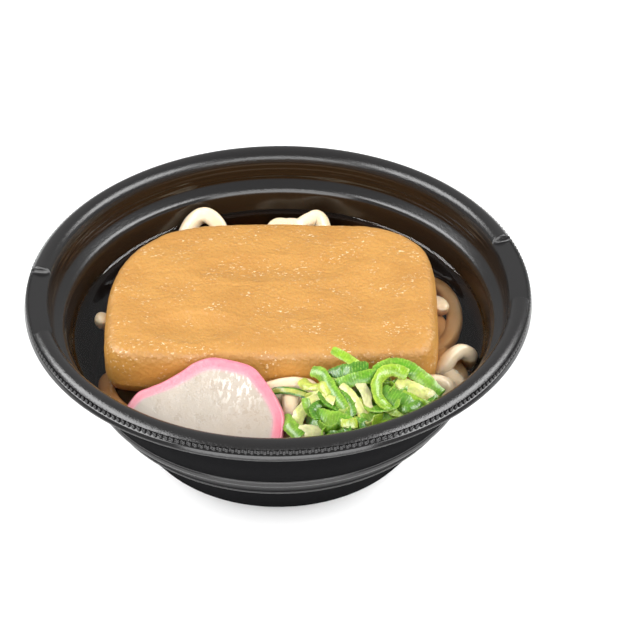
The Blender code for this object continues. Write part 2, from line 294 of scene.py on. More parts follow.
def blackPlastic(wire):
    rough = wire.attribute("rough")
    grain = wire.attribute("grain")
    speckle = wire.noise(0.0007, 2.0, 0.6)
    scuff = wire.noise(0.03, 4.0, 0.6)
    pits = wire.noise(0.0004, 1.0, 0.5)
    height = speckle * grain + pits * grain * 0.5
    base = (speckle * grain).mix((0.0095, 0.0092, 0.0095), (0.0145, 0.0138, 0.0135))
    base = wire.attribute("dull").mix(base, (0.0045, 0.0045, 0.005))
    # painted reflection: the groove and the lower inner wall are tinted brown where they reflect the food
    base = wire.attribute("paintedReflection").mix(base, (0.013, 0.0072, 0.0036))
    normal = wire.bump(height, 0.00014, 1.0)
    look = {"Base Color": base, "Roughness": rough + (scuff - 0.5) * 0.1, "Normal": normal}
    bright = wire.node("BsdfPrincipled", {}, look | {"Specular IOR Level": 0.5})
    dull = wire.node("BsdfPrincipled", {}, look | {"Specular IOR Level": 0.0})
    return wire.node("MixShader", {}, {0: wire.attribute("dull"), 1: bright, 2: dull})


def makeBowl(material):
    finishes = {  # roughness, grain, dullness
        "wall": (0.16, 0.0, 0),
        "groove": (0.12, 0.0, 0),
        "roll": (0.17, 0.6, 0),
        "lip": (0.14, 0.1, 0),
        "bead": (0.2, 0.2, 0),
        "outside": (0.34, 0.8, 0.95),
    }
    section = innerLine() + outerLine()
    points, rows, rough, grain, dull, paintedReflection = [], [], [], [], [], []
    for angle in bowlSteps():
        share = tabShare(angle)
        turned = math.radians(angle + bowl["tabTurn"])
        row = []
        for radius, height, part in section:
            top = bowl["tabTop"] - (bowl["thick"] if part in ("outside", "bead") else 0)
            level = height + (min(height, top) - height) * share
            row.append(len(points))
            points.append((radius * mm * math.cos(turned), radius * mm * math.sin(turned), level * mm))
            shine, pitted, matt = finishes[part]
            if part == "wall" and height > bowl["shoulder"]:
                shine, pitted = 0.2, 0.5
            if part == "roll" and share > 0.5:
                pitted = 0.2
            if part == "outside" and height < bowl["footTop"]:
                shine = 0.5
            rough.append(shine)
            grain.append(pitted)
            dull.append(float(matt))
            # painted reflection of the brown food, on the groove and the inner wall
            brown = part == "groove" or part == "wall" and 30 < height < 52
            paintedReflection.append(float(brown))
        rows.append(row)
    faces = []
    for row, following in zip(rows, rows[1:] + rows[:1]):
        for i in range(len(row) - 1):
            faces.append((row[i], row[i + 1], following[i + 1], following[i]))
    return makePiece("bowl_shell", points, faces, material, ["bowl"],
                     {"rough": rough, "grain": grain, "dull": dull, "paintedReflection": paintedReflection}, 35)


def makeBeads(material):
    # the knurled edge: a row of small rounded teeth between the roll and the lip
    points, faces = [], []
    rings, sides = 8, 10
    ringRadius, ringHeight = bowl["beadRing"]
    deep, wide, tall = bowl["beadSize"]
    for i in range(bowl["beads"]):
        angle = 2 * math.pi * (i + 0.5) / bowl["beads"]
        outward = Vector((math.cos(angle), math.sin(angle), 0))
        along = Vector((-math.sin(angle), math.cos(angle), 0))
        middle = outward * ringRadius * mm + Vector((0, 0, ringHeight * mm))
        rows = []
        for r in range(1, rings):
            lift = math.pi * (r / rings - 0.5)
            row = []
            for s in range(sides):
                turn = 2 * math.pi * s / sides
                spot = middle + outward * (deep * mm * math.cos(lift) * math.cos(turn))
                spot += along * (wide * mm * math.cos(lift) * math.sin(turn))
                spot.z += tall * mm * math.sin(lift)
                row.append(len(points))
                points.append(spot)
            rows.append(row)
        faces += loft(rows)
        faces.append(tuple(rows[-1]))
        faces.append(tuple(reversed(rows[0])))
    count = len(points)
    plain = [0.0] * count
    return makePiece("rim_beads", points, faces, material, (),
                     {"rough": [0.13] * count, "grain": plain, "dull": plain, "paintedReflection": plain})


plastic = newMaterial("blackPlastic", blackPlastic)
makeBowl(plastic)
makeBeads(plastic)
print("bowl made")


# fried tofu: a thick soft slab with rounded, uneven edges

tofu = {  # lengths in mm
    "outline": ((-52, 44), (-47, 47.8), (-38, 51.2), (-28, 53.2), (-12, 54.4), (5, 54.6), (22, 53.6),
                (38, 52.2), (48, 48.6), (54.5, 43.5), (59.5, 37), (62.3, 28.5), (63.5, 16), (63.5, 0),
                (63.3, -13), (62.6, -23), (60.6, -30), (56, -34.2), (48, -35.8), (30, -35.9), (10, -35.9),
                (-20, -35.9), (-46, -35.7), (-57.5, -35.1), (-64.5, -32.4), (-67.7, -25.8), (-68.6, -14),
                (-68.9, 0), (-68.2, 11), (-65.8, 23), (-60, 35)),
    "steps": 420,
    "sideRows": 27,
    "topRows": 90,
    "dimples": ((-33, -18, 15, 8, 1.9), (-44, -12, 8, 9, 0.8), (37, 4, 11, 15, 1.7), (-2, 20, 28, 7, 1.0),
                (12, -6, 16, 6, 0.7)),  # place, reach each way, depth
    "edge": 6.8,
}


def tofuOutline(inset, steps):
    # points round the slab in mm, drawn in by an inset, evenly spaced
    route = [Vector((x, y, 0)) for x, y in tofu["outline"]]
    fine = []
    for i in range(len(route)):
        near = [route[(i + k) % len(route)] for k in (-1, 0, 1, 2)]
        fine += [curvePoint(near, 1 + k / 12) for k in range(12)]
    lengths = [(fine[(i + 1) % len(fine)] - p).length for i, p in enumerate(fine)]
    total = sum(lengths)
    even, i, done = [], 0, 0.0
    for k in range(steps):
        target = total * k / steps
        while done + lengths[i] < target:
            done += lengths[i]
            i += 1
        ahead = fine[(i + 1) % len(fine)]
        spot = fine[i].lerp(ahead, (target - done) / max(lengths[i], 1e-9))
        way = (fine[(i + 2) % len(fine)] - fine[i - 1]).normalized()
        even.append(Vector((spot.x + way.y * inset, spot.y - way.x * inset)))
    reach = int(inset * steps / total)  # evened out where a tight corner would fold
    if reach < 1:
        return even
    return [sum((even[(k + n) % steps] for n in range(-reach, reach + 1)), Vector((0, 0))) / (2 * reach + 1)
            for k in range(steps)]


def tofuRelief(x, y):
    # height added to the slab's top, in mm
    height = 0.7 * noise.noise(Vector((x / 22, y / 15, 3.0)))
    crease = noise.noise(Vector((x / 16, y / 9, 8.0))) + 0.15 * noise.noise(Vector((x / 3, y / 3, 1.0)))
    height -= 0.2 * math.exp(-(crease / 0.06) ** 2)  # thin wandering folds
    for cx, cy, rx, ry, depth in tofu["dimples"]:
        far = math.sqrt(((x - cx) / rx) ** 2 + ((y - cy) / ry) ** 2)
        height -= depth * math.exp(-far ** 2)
        height += 0.22 * depth * math.exp(-((far - 1.35) / 0.22) ** 2)  # a faint ring round it
    return height


def tofuSkin(x, y, z):
    # fine unevenness, along the surface's own direction, in mm
    coarse = noise.fractal(Vector((x / 7, y / 7, z / 7)), 1.0, 2.0, 3)
    fine = noise.fractal(Vector((x / 1.5, y / 1.5, z / 1.5)), 0.8, 2.0, 2)
    return 0.13 * coarse + 0.1 * fine


def friedSkin(wire):
    edge = wire.attribute("edge")
    big = wire.noise(0.028, 4.0, 0.6, (1, 1.3, 1))
    middle = wire.noise(0.006, 4.0, 0.6)
    fine = wire.noise(0.0013, 3.0, 0.6)
    pits = wire.cells(0.0016)
    streaks = wire.noise(0.005, 4.0, 0.65, (1, 3.2, 1))
    base = big.band(0.3, 0.7).mix((0.39, 0.196, 0.0428), (0.347, 0.166, 0.033))
    base = (middle.band(0.42, 0.72) * 0.2).mix(base, (0.31, 0.13, 0.0216))
    base = (streaks.band(0.5, 0.72) * 0.12).mix(base, (0.45, 0.235, 0.0576))
    base = (fine.band(0.5, 0.8) * 0.2).mix(base, (0.285, 0.117, 0.0202))
    base = (edge * 0.6).mix(base, (0.6, 0.285, 0.056))  # less light gets down the side
    folds = wire.noise(0.009, 5.0, 0.7, (1, 1.8, 1))
    height = (fine * 0.9 + pits * 0.8 + middle * 0.2 + folds * 0.1) * (1 - edge * 0.5)
    wet = wire.noise(0.012, 4.0, 0.65).band(0.46, 0.64)
    # painted glints: light specks painted into the colour in the wet patches
    paintedGlints = wire.noise(0.0014, 2.0, 0.6, (1, 1.6, 1)).band(0.61, 0.66) * wet
    base = (paintedGlints * 0.65).mix(base, (0.8, 0.66, 0.44))
    return wire.node("BsdfPrincipled", inputs={
        "Base Color": base,
        "Roughness": 0.52 - wet * 0.14,
        "Subsurface Weight": 0.12,
        "Subsurface Radius": (0.004, 0.002, 0.0007),
        "Subsurface Scale": 0.5,
        "Coat Weight": wet * 0.3,
        "Coat Roughness": 0.18,
        "Coat IOR": 1.4,
        "Normal": wire.bump(height, 0.00034, 1.0),
    })


def makeTofu(material):
    bottom, top = tofuLow.z, tofuHigh.z - 0.6  # the relief rises over this
    middle = Vector(((tofuLow.x + tofuHigh.x) / 2, (tofuLow.y + tofuHigh.y) / 2))
    points, rows, edge = [], [], []

    def addRow(outline, level, lift):
        row = []
        for p in outline:
            z = bottom + (top + tofuRelief(p.x, p.y) - bottom) * level
            away = Vector((p.x - middle.x, p.y - middle.y, (level - 0.5) * 40)).normalized()
            spot = Vector((p.x, p.y, z)) + away * tofuSkin(p.x, p.y, z)
            row.append(len(points))
            points.append(spot * mm)
            edge.append(lift)
        rows.append(row)

    steps = tofu["steps"]
    for k in range(tofu["sideRows"]):  # up the side and over the rounded edge
        angle = math.radians(-72 + 162 * k / (tofu["sideRows"] - 1))
        level = 0.5 + 0.5 * math.sin(angle) if k else 0.02
        inset = (1 - max(0.0, math.cos(angle)) ** 0.62) * (tofu["edge"] if angle > 0 else 2.0)
        waist = 0.5 * math.cos(angle) ** 4
        shade = smoothStep((55 - math.degrees(angle)) / 60)
        addRow(tofuOutline(inset + waist - 0.2, steps), level, shade)
    rim = [Vector(points[i][:2]) / mm for i in rows[-1]]
    for k in range(1, tofu["topRows"]):
        share = 1 - k / tofu["topRows"]
        addRow([middle + (p - middle) * share for p in rim], 1.0, 0.0)
    faces = loft(rows)
    faces.append(tuple(rows[-1]))
    faces.append(tuple(reversed(rows[0])))
    return makePiece("tofu_slab", points, faces, material, ["fried_tofu"], {"edge": edge})


makeTofu(newMaterial("friedSkin", friedSkin))
print("tofu made")


# fish cake: a white body with a pink skin, cut as one slice

cake = {  # lengths in mm, angles in degrees
    "arch": ((-32.3, -33.5), (-31.2, -27.5), (-29.0, -21.3), (-25.0, -18.2), (-20.5, -15), (-15.4, -9.6),
             (-11.3, -4.6), (-5.9, -1.2), (0, 0.1), (6, 0.5), (11.5, -0.2), (15.8, -2.2), (22.5, -7),
             (28, -12.8), (30.9, -17.6), (32.6, -24.3), (32.6, -29), (31.8, -33.5)),
    "height": 33.5,
    "thick": 5.5,
    "top": (-20.3, -39.9, 61.1),  # the top of its arch, in the bowl
    "turn": -23.0,
    "lean": 35.0,
    "steps": 120,
}


def sliceAxes():
    turn, lean = math.radians(cake["turn"]), math.radians(cake["lean"])
    across = Vector((math.cos(turn), math.sin(turn), 0))
    up = Vector((-math.sin(turn) * math.cos(lean), math.cos(turn) * math.cos(lean), math.sin(lean)))
    return across, up, across.cross(up)


def archPoint(place, inset):
    # the arch from its left foot (0) to its right foot (1), drawn in by an inset
    route = [Vector((x, cake["height"] + y, 0)) for x, y in cake["arch"]]
    spot = curvePoint(route, place * (len(route) - 1))
    ahead = curvePoint(route, min(1.0, place + 0.004) * (len(route) - 1))
    before = curvePoint(route, max(0.0, place - 0.004) * (len(route) - 1))
    way = (ahead - before).normalized()
    spot += Vector((way.y, -way.x, 0)) * (inset - 0.15 * math.sin(34 * place))
    return Vector((spot.x, max(0.0, spot.y)))


def cakeWhite(wire):
    near = wire.attribute("near")
    cloud = wire.noise(0.012, 3.0, 0.5)
    specks = wire.cells(0.0052)
    grain = wire.noise(0.0008, 2.0, 0.5)
    base = cloud.band(0.35, 0.65).mix((0.375, 0.316, 0.256), (0.355, 0.306, 0.25))
    base = (specks.band(0.055, 0.03) * wire.noise(0.006).band(0.52, 0.6)).mix(base, (0.115, 0.101, 0.0795))
    base = near.mix(base, (0.52, 0.246, 0.289))
    wet = wire.noise(0.004, 3.0, 0.6).band(0.5, 0.62)
    glossAndPaintedStreak = wire.noise(0.0022, 3.0, 0.6, (1.6, 0.6, 1)).band(0.5, 0.6) * wire.attribute("shine")
    # painted highlight: the wet streak is painted lighter into the colour as well as getting a coat
    base = (glossAndPaintedStreak * 0.7).mix(base, (0.74, 0.705, 0.654))
    return wire.node("BsdfPrincipled", inputs={
        "Base Color": base,
        "Roughness": 0.38 - wet * 0.15,
        "Subsurface Weight": 0.3,
        "Subsurface Radius": (0.004, 0.003, 0.002),
        "Subsurface Scale": 0.6,
        "Coat Weight": glossAndPaintedStreak,
        "Coat Roughness": 0.08,
        "Normal": wire.bump(grain * 0.5 + wire.noise(0.003) * 1.2, 0.0004, 0.4),
    })


def cakePink(wire):
    near = wire.attribute("near")
    cloud = wire.noise(0.006, 4.0, 0.6)
    base = cloud.band(0.3, 0.7).mix((0.575, 0.146, 0.198), (0.555, 0.192, 0.232))
    base = (wire.noise(0.0018, 3.0).band(0.55, 0.75) * 0.3).mix(base, (0.545, 0.0828, 0.16))
    base = near.mix(base, (0.585, 0.283, 0.3))
    return wire.node("BsdfPrincipled", inputs={
        "Base Color": base,
        "Roughness": 0.34,
        "Subsurface Weight": 0.25,
        "Subsurface Radius": (0.004, 0.002, 0.003),
        "Subsurface Scale": 0.6,
        "Normal": wire.bump(wire.noise(0.0012), 0.0003, 0.5),
    })


def slicePoint(spot, depth):
    across, up, out = sliceAxes()
    base = Vector(cake["top"]) - up * cake["height"]
    bend = 0.9 * (spot.x / 32) ** 2 + 0.2 * noise.noise(Vector((spot.x / 9, spot.y / 9, 5)))
    return (base + across * spot.x + up * spot.y + out * (depth - bend)) * mm


def makeSlice(white, pink):
    steps, thick = cake["steps"], cake["thick"]
    angles = [i / steps for i in range(steps + 1)]

    def skinDepth(place):  # the pink layer is thickest at the top
        top = math.exp(-((place - 0.42) / 0.15) ** 2)
        return 2.6 + 1.3 * smoothStep(place / 0.15) + top + 0.2 * math.sin(23 * place)

    # pink skin: outer side, rounded edges, then the cut faces in to the white
    shell = ((0.9, 0.0), (0.75, -0.08), (0.45, -0.24), (0.2, -0.5), (0.05, -0.8), (0.0, -1.2),
             (0.0, -thick + 1.0), (0.2, -thick + 0.4), (0.8, -thick), (1.0, -thick))  # inset, depth
    rows, points, near = [], [], []
    sections = [(share, 0.0, True) for share in (1.0, 0.8, 0.6, 0.4, 0.2)]
    sections += [(0.0, inset, depth) for inset, depth in shell]
    for share, inset, depth in sections:
        row = []
        for a in angles:
            reach = inset
            if depth is True:
                reach = 0.9 + (skinDepth(a) - 0.9) * share
                level, tint = 0.0, smoothStep((share - 0.6) / 0.4) * 0.6
            else:
                level, tint = depth, 0.0
            row.append(len(points))
            points.append(slicePoint(archPoint(a, reach), level))
            near.append(tint)
        rows.append(row)
    back = []
    for a in angles:
        back.append(len(points))
        points.append(slicePoint(archPoint(a, skinDepth(a)), -thick))
        near.append(0.5)
    rows.append(back)
    faces = loft(rows, around=False)
    for i in range(steps):
        faces.append((back[i], back[i + 1], rows[0][i + 1], rows[0][i]))
    for end in (0, -1):
        faces.append(tuple(row[end] for row in rows))
    makePiece("cake_skin", points, faces, pink, ["fish_cake_skin"], {"near": near}, 50)

    # white body: the cut face in rings towards its middle, then the back
    rows, points, near, shine = [], [], [], []
    middle = Vector((2.0, 11.0))
    for depth, shares in ((0.0, [k / 24 for k in range(1, 25)]), (-thick, [1.0, 0.5, 0.04])):
        for share in shares:
            row = []
            outline = [archPoint(a, skinDepth(a)) for a in angles]
            base = [outline[-1].lerp(outline[0], k / 30) for k in range(1, 30)]
            for p in outline + base:
                spot = middle + (p - middle) * share
                row.append(len(points))
                points.append(slicePoint(spot, depth))
                gap = (1 - share) * (p - middle).length
                onArch = smoothStep(spot.y / 3)
                near.append(max(0.0, 1 - gap / 1.3) ** 1.5 * 0.75 * onArch)
                # where the wet streak's coat and its painted highlight go
                shine.append(math.exp(-((spot.x - 9) / 10) ** 2 - ((spot.y - 24) / 6.5) ** 2))
            rows.append(row)
    faces = loft(rows)
    faces.append(tuple(reversed(rows[0])))
    faces.append(tuple(rows[-1]))
    makePiece("cake_body", points, faces, white, ["fish_cake"],
              {"near": near, "shine": shine}, 50)


makeSlice(newMaterial("cakeWhite", cakeWhite), newMaterial("cakePink", cakePink))
print("fish cake made")


# noodles: thick strands over a smaller core

noodles = {  # lengths in mm
    "width": 6.6,
    "thick": 5.6,
    "sides": 20,
    "routes": {
        "backLoop": ((-45, 48, 34), (-42.5, 60, 40), (-38.8, 68, 45.6), (-34, 70.6, 49.3),
                     (-29.2, 69.3, 48.8), (-25.3, 64.5, 44.5), (-21, 50, 34)),
        "backWave": ((-12, 48, 34), (-6.5, 61, 39.5), (-2.5, 69.5, 43.8), (2.6, 70.6, 43.8),
                     (7.5, 69.4, 44.6), (12, 70.4, 46.8), (15.6, 71.2, 47.4), (18.2, 67, 43.6), (22, 54, 36)),
        "leftFront": ((-60, -14, 32), (-67, -23, 35.6), (-66, -33, 35.8), (-59, -43, 35.6), (-46, -48, 34)),
        "leftTip": ((-52, 8, 34), (-66, 8.5, 38), (-71, 8.2, 41.4), (-74.4, 7.2, 42.6)),
        "rightStrand": ((50, 45, 34), (62, 40, 36), (67.2, 32.5, 37.8), (70.3, 23.5, 38.3),
                        (71.2, 15, 38.3), (70, 6.5, 38), (66.5, -1, 37), (56, -10, 34)),
        "rightInner": ((46, 30, 33), (58, 22, 36), (64.5, 12, 36.8), (66, 2, 36.5), (62, -12, 35)),
        "rightTip": ((56, 25, 37), (63, 21, 40.6), (65.4, 17, 41.8), (66.2, 13.4, 41)),
        "rightLoop": ((56, -24, 34), (62.4, -24.5, 40), (65.2, -23.6, 44), (68, -20.6, 46.3),
                      (71.6, -17.8, 46.8), (74.6, -17, 44.8), (75.0, -16, 41), (72.5, -13, 36.5),
                      (60, -10, 32)),
        "rightUnder": ((58, -16, 34), (66, -17, 38.2), (70.5, -20.5, 38.8), (70.5, -27, 38), (61, -34, 33)),
        "rimNoodle": ((48, -28, 34), (55, -34.5, 42), (59.6, -36.2, 46), (63.4, -37, 46.4),
                      (66.4, -39.3, 44.4), (65, -42, 40), (57, -43, 34)),
        "rimSmall": ((56, -20, 35), (65, -24.5, 40), (68.6, -29, 41.4), (70, -33.5, 40), (62, -40, 34)),
        "frontArch": ((-14, -35, 36), (-8, -39.4, 43), (-2.5, -40.6, 46.8), (3, -40, 48), (8.7, -39.8, 48),
                      (13.3, -41, 46.8), (17, -45, 43.5), (18, -50, 36)),
        "frontSecond": ((-12, -40, 36), (-6, -42.5, 42), (0, -43.6, 44.2), (7, -44.4, 44.8),
                        (12, -47, 43.6), (15, -52, 41.5), (14, -56, 35)),
        "frontUnder": ((12, -36, 38), (22, -41, 44), (32, -44, 45), (40, -42, 40)),
        "frontStrand": ((3, -37, 38), (4.4, -42, 44), (5.1, -47.5, 46.4), (5.2, -53, 46.2), (5.4, -58, 45),
                        (7, -67, 40), (8, -60, 30)),
        "frontLeft": ((-8, -38, 38), (-4, -50, 41.4), (-3, -62, 41.2), (-2, -70, 38), (0, -58, 27)),
        "frontRight": ((18, -44, 40), (22, -54, 43), (26, -66, 42.5), (28, -58, 30)),
        "frontFar": ((36, -38, 40), (46, -46, 43.5), (52, -56, 42.5), (40, -52, 30)),
    },
}


def udon(wire):
    cloud = wire.noise(0.008, 3.0, 0.5)
    grain = wire.noise(0.0012, 3.0, 0.55)
    base = cloud.band(0.3, 0.7).mix((0.77, 0.635, 0.455), (0.71, 0.568, 0.37))
    base = (grain.band(0.5, 0.8) * 0.2).mix(base, (0.61, 0.49, 0.3))
    return wire.node("BsdfPrincipled", inputs={
        "Base Color": base,
        "Roughness": 0.3,
        "Subsurface Weight": 0.3,
        "Subsurface Radius": (0.005, 0.0035, 0.002),
        "Subsurface Scale": 0.7,
        "Coat Weight": 0.3,
        "Coat Roughness": 0.1,
        "Normal": wire.bump(grain + cloud * 2, 0.0004, 0.4),
    })


def addStrand(points, faces, route, seed):
    # a rounded square section swept along the route, swelling and turning a little
    count = 14 * (len(route) - 1)
    line = [p * mm for p in smoothLine(route, count)]
    travelled = [0.0]
    for before, after in zip(line, line[1:]):
        travelled.append(travelled[-1] + (after - before).length)
    sides = noodles["sides"]
    side = Vector((0, 0, 1))
    rows = []
    for i, spot in enumerate(line):
        along = (line[min(i + 1, count - 1)] - line[max(i - 1, 0)]).normalized()
        side = (side - along * side.dot(along)).normalized()
        other = along.cross(side)
        swell = 1 + 0.07 * noise.noise(Vector((i / 9, seed, 0)))
        twist = 0.6 * noise.noise(Vector((i / 22, seed, 4)))
        toEnd = min(travelled[i], travelled[-1] - travelled[i]) + 0.05 * mm
        close = math.sqrt(1 - (1 - min(1.0, toEnd / (3 * mm))) ** 2)  # rounded ends
        row = []
        for k in range(sides):
            angle = 2 * math.pi * k / sides
            c, s = math.cos(angle), math.sin(angle)
            square = (abs(c) ** 3.2 + abs(s) ** 3.2) ** (-1 / 3.2)
            u = c * square * noodles["width"] / 2 * mm * swell * close
            v = s * square * noodles["thick"] / 2 * mm * swell * close
            row.append(len(points))
            points.append(spot + other * (u * math.cos(twist) - v * math.sin(twist))
                          + side * (u * math.sin(twist) + v * math.cos(twist)))
        rows.append(row)
    faces += loft(rows)
    faces.append(tuple(rows[-1]))
    faces.append(tuple(reversed(rows[0])))


def makeNoodles(material):
    points, faces = [], []
    for seed, route in enumerate(noodles["routes"].values()):
        addStrand(points, faces, route, seed * 3.7)
    makePiece("noodle_strands", keptInside(points, 0.5), faces, material, ["noodles"])
    # the core, out of sight under the slab and the broth
    points, rows = [], []
    for radius, height in ((40, 3.4), (50, 5), (56, 14), (59, 24), (58, 32), (50, 36.5), (30, 38)):
        row = []
        for k in range(96):
            angle = 2 * math.pi * k / 96
            reach = radius * (1 + 0.02 * math.sin(5 * angle) + 0.025 * math.sin(11 * angle + height))
            x, y = reach * math.cos(angle), reach * math.sin(angle)
            lumps = 0.8 * math.sin(x / 3.1) * math.sin(y / 3.7) if height > 20 else 0
            row.append(len(points))
            points.append((x * mm, y * mm, (height + lumps) * mm))
        rows.append(row)
    faces = loft(rows)
    faces.append(tuple(rows[-1]))
    faces.append(tuple(reversed(rows[0])))
    makePiece("noodle_core", points, faces, material, ["noodles"])


makeNoodles(newMaterial("udon", udon))
print("noodles made")


# green onion: thin curled strips and rings in a loose heap

onion = {  # lengths in mm, angles in degrees
    "seed": 11,
    "loose": 55,
    "centre": (34.0, -56.5),
    "turn": 22.0,
    "halfLength": 27.0,
    "halfDepth": 17.0,
    "base": 44.0,
    "rise": 14.5,
    "thick": 0.6,
    "bareEnd": 17.0,  # no loose strips over the noodles to the left of this
    "reach": 77.5,  # the farthest middle of a loose strip from the bowl's axis
}

onionGreens = {  # outer face, inner face
    "deep": ((0.0341, 0.143, 0.00472), (0.121, 0.288, 0.0177)),
    "leaf": ((0.0832, 0.252, 0.00707), (0.227, 0.373, 0.0354)),
    "bright": ((0.197, 0.359, 0.0129), (0.348, 0.446, 0.059)),
    "lime": ((0.348, 0.446, 0.0354), (0.469, 0.503, 0.106)),
    "pale": ((0.5, 0.518, 0.141), (0.56, 0.56, 0.225)),
    "white": ((0.576, 0.56, 0.283), (0.605, 0.575, 0.318)),
    "thin": ((0.378, 0.403, 0.0889), (0.378, 0.403, 0.0889)),
}


onionStrips = (  # colour, width, cupping, the way its outer face looks, route
    ("bright", 3.0, 0.2, (0, -0.6, 1), ((20.9, -39.5, 65), (25.9, -41.5, 63.3), (28.9, -43.2, 62),
        (32, -44.8, 60.5))),
    ("leaf", 4.4, 0.5, (-0.4, -0.5, 0.9), ((13, -43.1, 57.5), (16.4, -45.6, 58.5), (19.4, -52.1, 58),
        (22.4, -57.3, 56.5), (25.4, -62, 54.5), (26.5, -65.5, 52.2))),
    ("lime", 3.6, 0.6, (0, -0.6, 0.9), ((9.3, -43.5, 53.5), (11.2, -47.6, 54.5), (15.3, -49.9, 55.8),
        (19.3, -49.6, 57))),
    ("deep", 6.0, 0.5, (0, -0.6, 1), ((19.5, -46.1, 56.5), (24.7, -46.2, 59.3), (29, -46.5, 60.8),
        (34.8, -46.6, 61))),
    ("leaf", 4.6, 0.3, (0.1, -0.7, 0.8), ((21.5, -51, 56.5), (27.7, -50.2, 58.6), (32.3, -50, 60),
        (38.6, -49, 60.3))),
    ("bright", 4.2, 0.4, (-0.2, -0.7, 0.9), ((49.6, -48.6, 60), (45.5, -47.4, 61.3), (41.6, -48, 61.5),
        (38.6, -51.6, 60.5), (38, -56.8, 59), (40.2, -60.8, 56.8), (44, -63.1, 54.8), (49, -63.4, 53.2))),
    ("leaf", 5.4, 0.5, (0.4, -0.4, 0.9), ((37.5, -47.5, 59.8), (43.3, -44.6, 61.6), (48.6, -45.6, 61.6),
        (53.4, -48, 59.8), (58, -51.5, 57.2), (62.6, -54.5, 53.8))),
    ("pale", 5.6, 0.5, (0.1, -0.6, 0.9), ((45, -49.8, 57.4), (50.4, -53.1, 57.5), (55.8, -55.2, 56),
        (61.8, -56.4, 53))),
    ("bright", 3.4, 0.3, (0.1, -0.8, 0.6), ((46, -54.5, 56.5), (51, -57.5, 55.6), (56.4, -59, 53.8),
        (60, -58.5, 52.3))),
    ("deep", 6.6, 0.4, (0, -0.5, 0.9), ((39.5, -54.6, 57), (44.6, -57.4, 56.5), (48.9, -59.8, 55.3),
        (53.4, -60.8, 53.3))),
    ("pale", 3.4, 0.2, (-0.2, -0.7, 0.8), ((24, -52.3, 57.8), (28.4, -57.3, 56.9), (30.6, -62, 55.2),
        (34.3, -66.5, 52.3))),
    ("white", 3.2, 0.2, (0.2, -0.7, 0.8), ((31, -50.4, 58.2), (33.7, -56.2, 57.3), (34.6, -61.5, 55),
        (37, -66, 52.6))),
    ("pale", 4.6, 0.3, (-0.2, -0.6, 0.9), ((7.4, -65.2, 49.6), (9, -61, 52), (12.6, -57.6, 53.8),
        (17.5, -56.6, 55.3), (22, -58.6, 56))),
    ("lime", 3.6, 0.3, (-0.3, -0.7, 0.7), ((11, -52, 51.5), (15, -54.5, 54.4), (19, -54, 56),
        (22, -54.4, 57))),
    ("leaf", 5.2, 0.6, (-0.3, -0.4, 0.9), ((2.5, -60.2, 49.4), (5, -66.4, 50.3), (9.6, -71.4, 49.4))),
    ("leaf", 6.2, 0.3, (0, -0.6, 0.9), ((14.4, -64, 52.8), (19.4, -66, 53.2), (23.9, -67, 53),
        (29, -69.6, 51.4))),
    ("white", 4.6, 0.3, (0, -0.6, 0.9), ((8.3, -69.4, 49.6), (12.7, -69.9, 50.3), (17.8, -71.4, 49.6))),
    ("leaf", 6.0, 0.3, (-0.1, -0.6, 0.9), ((29, -68.6, 51.2), (34.3, -66.3, 53.2), (38.9, -64, 54.4),
        (42.9, -63, 55.2))),
    ("bright", 5.6, 0.3, (0.2, -0.6, 0.9), ((34.8, -70, 50.4), (40.7, -67.3, 51.7), (46, -65.2, 52.2),
        (51.4, -62.6, 52))),
    ("bright", 5.0, 0.4, (0, -0.6, 0.9), ((19, -70.2, 50.8), (24.6, -70.8, 50.8), (30.1, -70.6, 50.2))),
    ("deep", 4.4, 0.3, (-0.4, -0.6, 0.8), ((22.9, -55.2, 56.2), (26.5, -59.7, 55.3), (27.8, -65, 53.2))),
    ("lime", 3.2, 0.2, (0.3, -0.7, 0.7), ((30, -58, 56), (33.5, -62.5, 54.6), (38.5, -64.5, 53.6))),
    ("leaf", 4.4, 0.4, (0.3, -0.5, 0.9), ((52, -50, 58), (57.5, -54, 55.8), (60.5, -59, 53))),
    ("thin", 2.6, 0.2, (0, -0.5, 0.9), ((-1.8, -44.6, 48.7), (2.6, -46.2, 50.5), (7.2, -47.6, 50.9),
        (11.6, -49.6, 50.4), (14.6, -52.8, 49))),
)


def onionSkin(wire):
    tint = wire.attribute("tint", 0)
    veins = wire.noise(0.0011, 3.0, 0.6)
    cloud = wire.noise(0.004, 3.0, 0.6)
    ribs = wire.maths("SINE", (wire.attribute("along") + veins * 0.9) * 6.0) * 0.5 + 0.5
    base = (ribs.band(0.4, 0.95) * veins.band(0.4, 0.62) * 0.22).mix(tint, (0.50, 0.62, 0.14))
    base = (cloud.band(0.5, 0.8) * 0.35).mix(base, (0.05, 0.19, 0.008))
    return wire.node("BsdfPrincipled", inputs={
        "Base Color": base,
        "Roughness": 0.3,
        "Subsurface Weight": 0.25,
        "Subsurface Radius": (0.001, 0.002, 0.0005),
        "Subsurface Scale": 0.8,
        "Coat Weight": 0.25,
        "Coat Roughness": 0.15,
        "Normal": wire.bump(ribs * veins * 0.6 + veins, 0.0003, 0.35),
    })


